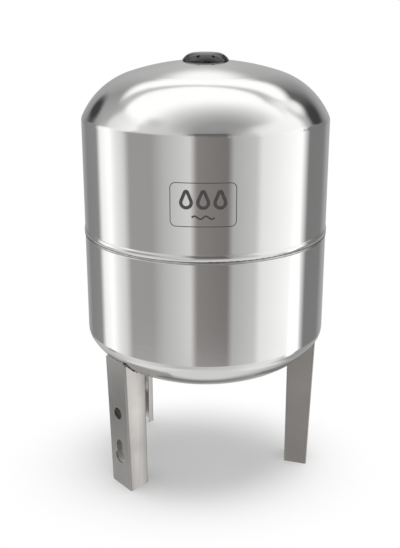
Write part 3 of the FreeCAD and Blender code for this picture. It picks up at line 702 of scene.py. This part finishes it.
def leg_finish(name, outward, sideways, steel):
    finish, tree, place = new_finish(name + "_mill_finish")
    rolled = noise(tree, vector_maths(tree, "MULTIPLY", place, ROLLING_LINES), 1.0, 3.0)
    handling = noise(tree, place, LEG_PATCHES, 4.0)
    # the given steel tone includes painted shade for the right leg
    tone = vector_maths(tree, "MULTIPLY", clouded(tree, handling, LEG_DULLING), steel)
    rough = maths(tree, "ADD", between(tree, rolled, *LEG_ROUGHNESS),
                  between(tree, handling, *LEG_HANDLING))
    leaning = outward - Vector((0, 0, LEG_LEAN))
    depth = maths(tree, "SUBTRACT", vector_maths(tree, "DOT_PRODUCT", place, leaning), SIDE_MIDDLE)
    across = vector_maths(tree, "DOT_PRODUCT", place, sideways)
    beside = maths(tree, "MULTIPLY_ADD", depth, -SIDE_CLOSING, maths(tree, "ABSOLUTE", across))
    inside = maths(tree, "MULTIPLY", maths(tree, "LESS_THAN", depth, INSIDE_WEB),
                   maths(tree, "LESS_THAN", beside, INSIDE_SIDE))
    inside = maths(tree, "MULTIPLY", inside, maths(tree, "GREATER_THAN", depth, INSIDE_LIP))
    side_dip = maths(tree, "MULTIPLY", squared(tree, depth), -SIDE_BOW)
    web_dip = maths(tree, "MULTIPLY", squared(tree, across), -WEB_BOW)
    bow = relief(tree, maths(tree, "ADD", side_dip, web_dip), 1.0, depth=1.0)
    # inside the channel the tone is paler: painted light that lifts the channel's shade
    return finished(finish, {
        "Base Color": mix(tree, inside, tone, INSIDE_PAINTED_LIGHT_TONE), "Metallic": 1.0,
        "Roughness": maths(tree, "MULTIPLY_ADD", inside, INSIDE_DULLNESS, rough),
        "Normal": relief(tree, rolled, LEG_RELIEF, over=bow)})


def heat_tinted_weld():
    """Weld steel that went straw and blue at its edges as it cooled."""
    finish, tree, place = new_finish("weld_heat_tinted")
    heat = between(tree, noise(tree, place, HEAT_PATCHES, 3.0), 0.0, 1.0)
    return finished(finish, {
        "Base Color": ramp(tree, heat, HEAT_TINTS), "Metallic": 1.0,
        "Roughness": between(tree, heat, *HEAT_ROUGHNESS),
        "Normal": relief(tree, noise(tree, place, HEAT_GRAIN), HEAT_RELIEF)})


HEAT_TINTED_WELD = heat_tinted_weld()
base_head = BVHTree.FromPolygons(
    [vertex.co for vertex in nodes["lower_shell"].data.vertices],
    [tuple(face.vertices) for face in nodes["lower_shell"].data.polygons])
for name, (bearing, steel) in LEGS_WITH_SHADED_TONES.items():
    outward, sideways = leg_directions(bearing)
    dress(name, leg_finish(name, outward, sideways, steel))
    leg_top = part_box(name)[1].z
    inside = FOOT_RADIUS + leg_top * LEG_LEAN - LEG_SHEET - LEG_WELD_RADIUS / 2
    run = []
    for number in range(LEG_WELD_POINTS):
        share = 2 * number / (LEG_WELD_POINTS - 1) - 1
        start = outward * inside + sideways * share * LEG_WELD_HALF_LENGTH
        hit = base_head.ray_cast(start, Vector((0, 0, 1)))[0]
        run.append(hit - Vector((0, 0, LEG_WELD_RADIUS / 3)))
    leg_weld = weld_bead(name + "_weld", run, False, LEG_WELD_RADIUS, HEAT_TINTED_WELD)
    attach(leg_weld, "root")


# The top cap: a low moulding in black plastic, glossy, with a fine orange-peel skin.
# It is moulded in one piece with its finger notches, and its spigot is pushed into the valve seat.

CAP_TONES = (0.004, 0.004, 0.0045, 1), (0.014, 0.014, 0.015, 1)
CAP_ROUGHNESS = (0.06, 0.14)
CAP_GLOSS = 1.62
CAP_WEAR = 60.0
CAP_SKIN = 420.0
CAP_RELIEF = 0.10
CAP_SKIN_DEPTH = 0.0004


def cap_finish():
    finish, tree, place = new_finish("cap_moulded_black")
    wear = noise(tree, place, CAP_WEAR, 4.0)
    skin = noise(tree, place, CAP_SKIN)
    return finished(finish, {
        "Base Color": clouded(tree, wear, CAP_TONES), "IOR": CAP_GLOSS,
        "Roughness": between(tree, wear, *CAP_ROUGHNESS),
        "Normal": relief(tree, skin, CAP_RELIEF, depth=CAP_SKIN_DEPTH)})


dress("top_cap", cap_finish())


# The neck, the counter flange, the port and the valve seat: stainless steel turned on a lathe.
# The neck and the seat are welded into the heads' openings, and the port into the counter flange,
# which clamps the bladder's lip against the neck.

TURNED_TONES = (0.68, 0.68, 0.67, 1), (0.60, 0.595, 0.58, 1)
TURNED_ROUGHNESS = (0.22, 0.34)
TURNED_PATCHES = 40.0
TURNED_RELIEF = 0.18
TOOL_LINES = 2600.0


def turned_finish():
    finish, tree, place = new_finish("turned_steel")
    run = maths(tree, "ADD", off_axis(tree, place), height_of(tree, place))
    feed = add(tree, "ShaderNodeCombineXYZ", {"Z": maths(tree, "MULTIPLY", run, TOOL_LINES)})
    lines = noise(tree, feed.outputs[0], 1.0)
    patches = noise(tree, place, TURNED_PATCHES, 3.0)
    return finished(finish, {
        "Base Color": clouded(tree, patches, TURNED_TONES), "Metallic": 1.0,
        "Roughness": between(tree, lines, *TURNED_ROUGHNESS),
        "Normal": relief(tree, lines, TURNED_RELIEF)})


TURNED_FINISH = turned_finish()
for name in ("neck_ring", "counter_flange", "port_socket", "valve_seat"):
    dress(name, TURNED_FINISH)


# The port: a stainless socket with a one-inch pipe thread cut inside, welded into the counter flange.
# Its mouth is chamfered, and the thread runs through its whole length.

PORT_CREST = 0.01515
PORT_ROOT = 0.01662
PORT_SPIGOT = 0.020
PORT_OUTER = 0.022
PORT_CHAMFER = 0.0015
PORT_SEAT_DEPTH = 0.005
THREAD_PITCH = 0.002309
THREAD_STEPS = 10
PORT_AROUND = 96
SHARP_EDGE = math.radians(20)
MERGE_DISTANCE = 1e-6


def plain_ring(radius, level):
    return lambda turn: (radius, level)


def thread_ring(level, mouth):
    """One level of the threaded bore: a vee groove that climbs one pitch a turn."""
    def at(turn):
        phase = (level / THREAD_PITCH - turn / (2 * math.pi)) % 1
        groove = PORT_CREST + (PORT_ROOT - PORT_CREST) * (1 - abs(2 * phase - 1))
        chamfer = PORT_CREST + PORT_CHAMFER - (level - mouth)
        return max(groove, chamfer), level
    return at


def lathe(name, rings, around):
    """A closed turned mesh; each ring is a function of the angle that gives radius and height."""
    verts, faces = [], []
    for ring in rings:
        for number in range(around):
            turn = 2 * math.pi * number / around
            radius, level = ring(turn)
            verts.append((radius * math.cos(turn), radius * math.sin(turn), level))
    for row in range(len(rings)):
        here, there = row * around, (row + 1) % len(rings) * around
        for number in range(around):
            beside = (number + 1) % around
            faces.append((here + number, here + beside, there + beside, there + number))
    mesh = bpy.data.meshes.new(name)
    mesh.from_pydata(verts, [], faces)
    shape = bmesh.new()
    shape.from_mesh(mesh)
    # rings of no radius close into a pole, and leave a bare edge along the axis
    bmesh.ops.remove_doubles(shape, verts=shape.verts, dist=MERGE_DISTANCE)
    bare = [edge for edge in shape.edges if not edge.link_faces]
    bmesh.ops.delete(shape, geom=bare, context="EDGES")
    bmesh.ops.recalc_face_normals(shape, faces=shape.faces)
    shape.to_mesh(mesh)
    shape.free()
    mesh.shade_smooth()
    mesh.set_sharp_from_angle(angle=SHARP_EDGE)
    return mesh


port_low, port_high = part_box("port_socket")
mouth, face, seat = port_low.z, port_high.z, port_high.z - PORT_SEAT_DEPTH
rings = [plain_ring(PORT_CREST + PORT_CHAMFER, mouth), plain_ring(PORT_OUTER - PORT_CHAMFER, mouth),
         plain_ring(PORT_OUTER, mouth + PORT_CHAMFER), plain_ring(PORT_OUTER, seat),
         plain_ring(PORT_SPIGOT, seat), plain_ring(PORT_SPIGOT, face), plain_ring(PORT_CREST, face)]
levels = round((face - mouth) / THREAD_PITCH * THREAD_STEPS)
for number in range(levels - 1, 0, -1):
    rings.append(thread_ring(mouth + (face - mouth) * number / levels, mouth))
port_mesh = lathe("threaded_port", rings, PORT_AROUND)
port_mesh.materials.append(TURNED_FINISH)
port = placed("threaded_port", port_mesh)
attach(port, "root")
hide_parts("port_socket")


# Screws, washers, nut and hanger: steel with a bright zinc plate, slightly clouded.
# Six cold-headed hexagon screws, chamfered on the head, hold the counter flange to the neck.

BOLT_CIRCLE = 0.050
BOLT_COUNT = 6
HEAD_ACROSS_FLATS = 0.013
HEAD_FACE_RADIUS = 0.0061
HEAD_HEIGHT = 0.0053
SHANK_RADIUS = 0.004
BOLT_AROUND = 48
CHAMFER_SLOPE = math.tan(math.radians(30))
ZINC_TONES = (0.62, 0.63, 0.64, 1), (0.54, 0.55, 0.55, 1)
ZINC_ROUGHNESS = (0.18, 0.28)
ZINC_CLOUD = 160.0
ZINC_RELIEF = 0.05


def zinc_finish():
    finish, tree, place = new_finish("zinc_plate")
    cloud = noise(tree, place, ZINC_CLOUD, 4.0)
    return finished(finish, {
        "Base Color": clouded(tree, cloud, ZINC_TONES), "Metallic": 1.0,
        "Roughness": between(tree, cloud, *ZINC_ROUGHNESS),
        "Normal": relief(tree, cloud, ZINC_RELIEF)})


def head_side(turn):
    """The distance from the axis to the hexagon's side in one direction, a corner at 0."""
    side = math.pi / 3
    return HEAD_ACROSS_FLATS / 2 / math.cos(turn % side - side / 2)


def bolt_ring_maker():
    """Geometry nodes that set copies of one bolt round a circle."""
    tree, given = new_maker("bolt_ring", {
        "Bolt": "Geometry", "Count": "Int", "Circle Radius": "Float", "Finish": "Material"}, "Ring")
    circle = add(tree, "GeometryNodeMeshCircle",
                 {"Vertices": given["Count"], "Radius": given["Circle Radius"]})
    number = add(tree, "GeometryNodeInputIndex").outputs[0]
    turn = maths(tree, "DIVIDE", maths(tree, "MULTIPLY", number, 2 * math.pi), given["Count"])
    facing = add(tree, "ShaderNodeCombineXYZ", {"Z": turn})
    copies = add(tree, "GeometryNodeInstanceOnPoints", {
        "Points": circle.outputs[0], "Instance": given["Bolt"], "Rotation": facing.outputs[0]})
    return close_maker(tree, copies.outputs[0], given["Finish"], "Ring")


ZINC_FINISH = zinc_finish()
for name in ("flange_bolts", "flange_washers", "hanger_stem", "hanger_washer", "hanger_nut"):
    dress(name, ZINC_FINISH)

bolt_low, bolt_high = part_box("flange_bolts")
under_head = bolt_low.z + HEAD_HEIGHT
bolt_mesh = lathe("chamfered_bolt", [
    plain_ring(0.0, bolt_low.z), plain_ring(HEAD_FACE_RADIUS, bolt_low.z),
    lambda turn: (head_side(turn), bolt_low.z + (head_side(turn) - HEAD_FACE_RADIUS) * CHAMFER_SLOPE),
    lambda turn: (head_side(turn), under_head),
    plain_ring(SHANK_RADIUS, under_head), plain_ring(SHANK_RADIUS, bolt_high.z),
    plain_ring(0.0, bolt_high.z)], BOLT_AROUND)
bolts = made_from(bolt_mesh, bolt_ring_maker(), {
    "Count": BOLT_COUNT, "Circle Radius": BOLT_CIRCLE, "Finish": ZINC_FINISH}, "chamfered_bolts")
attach(bolts, "root")
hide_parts("flange_bolts")


# The bladder and the valve's sealing ring: black moulded rubber with a dusty bloom.
# The bladder is clamped by its lip at the neck and hung by its tail from the valve seat, and the
# ring seals the air valve where it passes through the seat.

BLADDER_TONE = 0.022
RING_TONE = 0.016
BLOOM_LIFT = 1.8
BLOOM_PATCHES = 30.0
RUBBER_ROUGHNESS = (0.55, 0.78)
RUBBER_GRAIN = 700.0
RUBBER_RELIEF = 0.12
RUBBER_DEPTH = 0.0003


def rubber_finish(name, darkest):
    finish, tree, place = new_finish(name)
    bloom = noise(tree, place, BLOOM_PATCHES, 5.0)
    return finished(finish, {
        "Base Color": clouded(tree, bloom, (grey(darkest), grey(darkest * BLOOM_LIFT))),
        "Roughness": between(tree, bloom, *RUBBER_ROUGHNESS),
        "Normal": relief(tree, noise(tree, place, RUBBER_GRAIN), RUBBER_RELIEF, depth=RUBBER_DEPTH)})


dress("bladder", rubber_finish("bladder_rubber", BLADDER_TONE))
dress("valve_gasket", rubber_finish("seal_rubber", RING_TONE))


# The air valve: a turned brass body and core, under a ribbed plastic dust cap.
# The body stands in the floor of the valve seat beside the hanger, and the dust cap screws onto it.

BRASS_TONES = (0.78, 0.62, 0.33, 1), (0.62, 0.47, 0.24, 1)
BRASS_ROUGHNESS = (0.2, 0.34)
BRASS_TARNISH = 200.0
BRASS_LINES = (20, 20, 4000)
BRASS_RELIEF = 0.15
BRASS_DEPTH = 0.0001
DUST_CAP_TONES = grey(0.018), grey(0.03)
DUST_CAP_ROUGHNESS = (0.42, 0.56)
DUST_CAP_GRAIN = 900.0
DUST_CAP_RELIEF = 0.2


def brass_finish():
    finish, tree, place = new_finish("turned_brass")
    lines = noise(tree, vector_maths(tree, "MULTIPLY", place, BRASS_LINES), 1.0)
    tarnish = noise(tree, place, BRASS_TARNISH, 3.0)
    return finished(finish, {
        "Base Color": clouded(tree, tarnish, BRASS_TONES), "Metallic": 1.0,
        "Roughness": between(tree, tarnish, *BRASS_ROUGHNESS),
        "Normal": relief(tree, lines, BRASS_RELIEF, depth=BRASS_DEPTH)})


def dust_cap_finish():
    finish, tree, place = new_finish("dust_cap_plastic")
    grain = noise(tree, place, DUST_CAP_GRAIN, 3.0)
    return finished(finish, {
        "Base Color": clouded(tree, grain, DUST_CAP_TONES),
        "Roughness": between(tree, grain, *DUST_CAP_ROUGHNESS),
        "Normal": relief(tree, grain, DUST_CAP_RELIEF)})


BRASS_FINISH = brass_finish()
dress("valve_body", BRASS_FINISH)
dress("valve_core", BRASS_FINISH)
dress("valve_cap", dust_cap_finish())
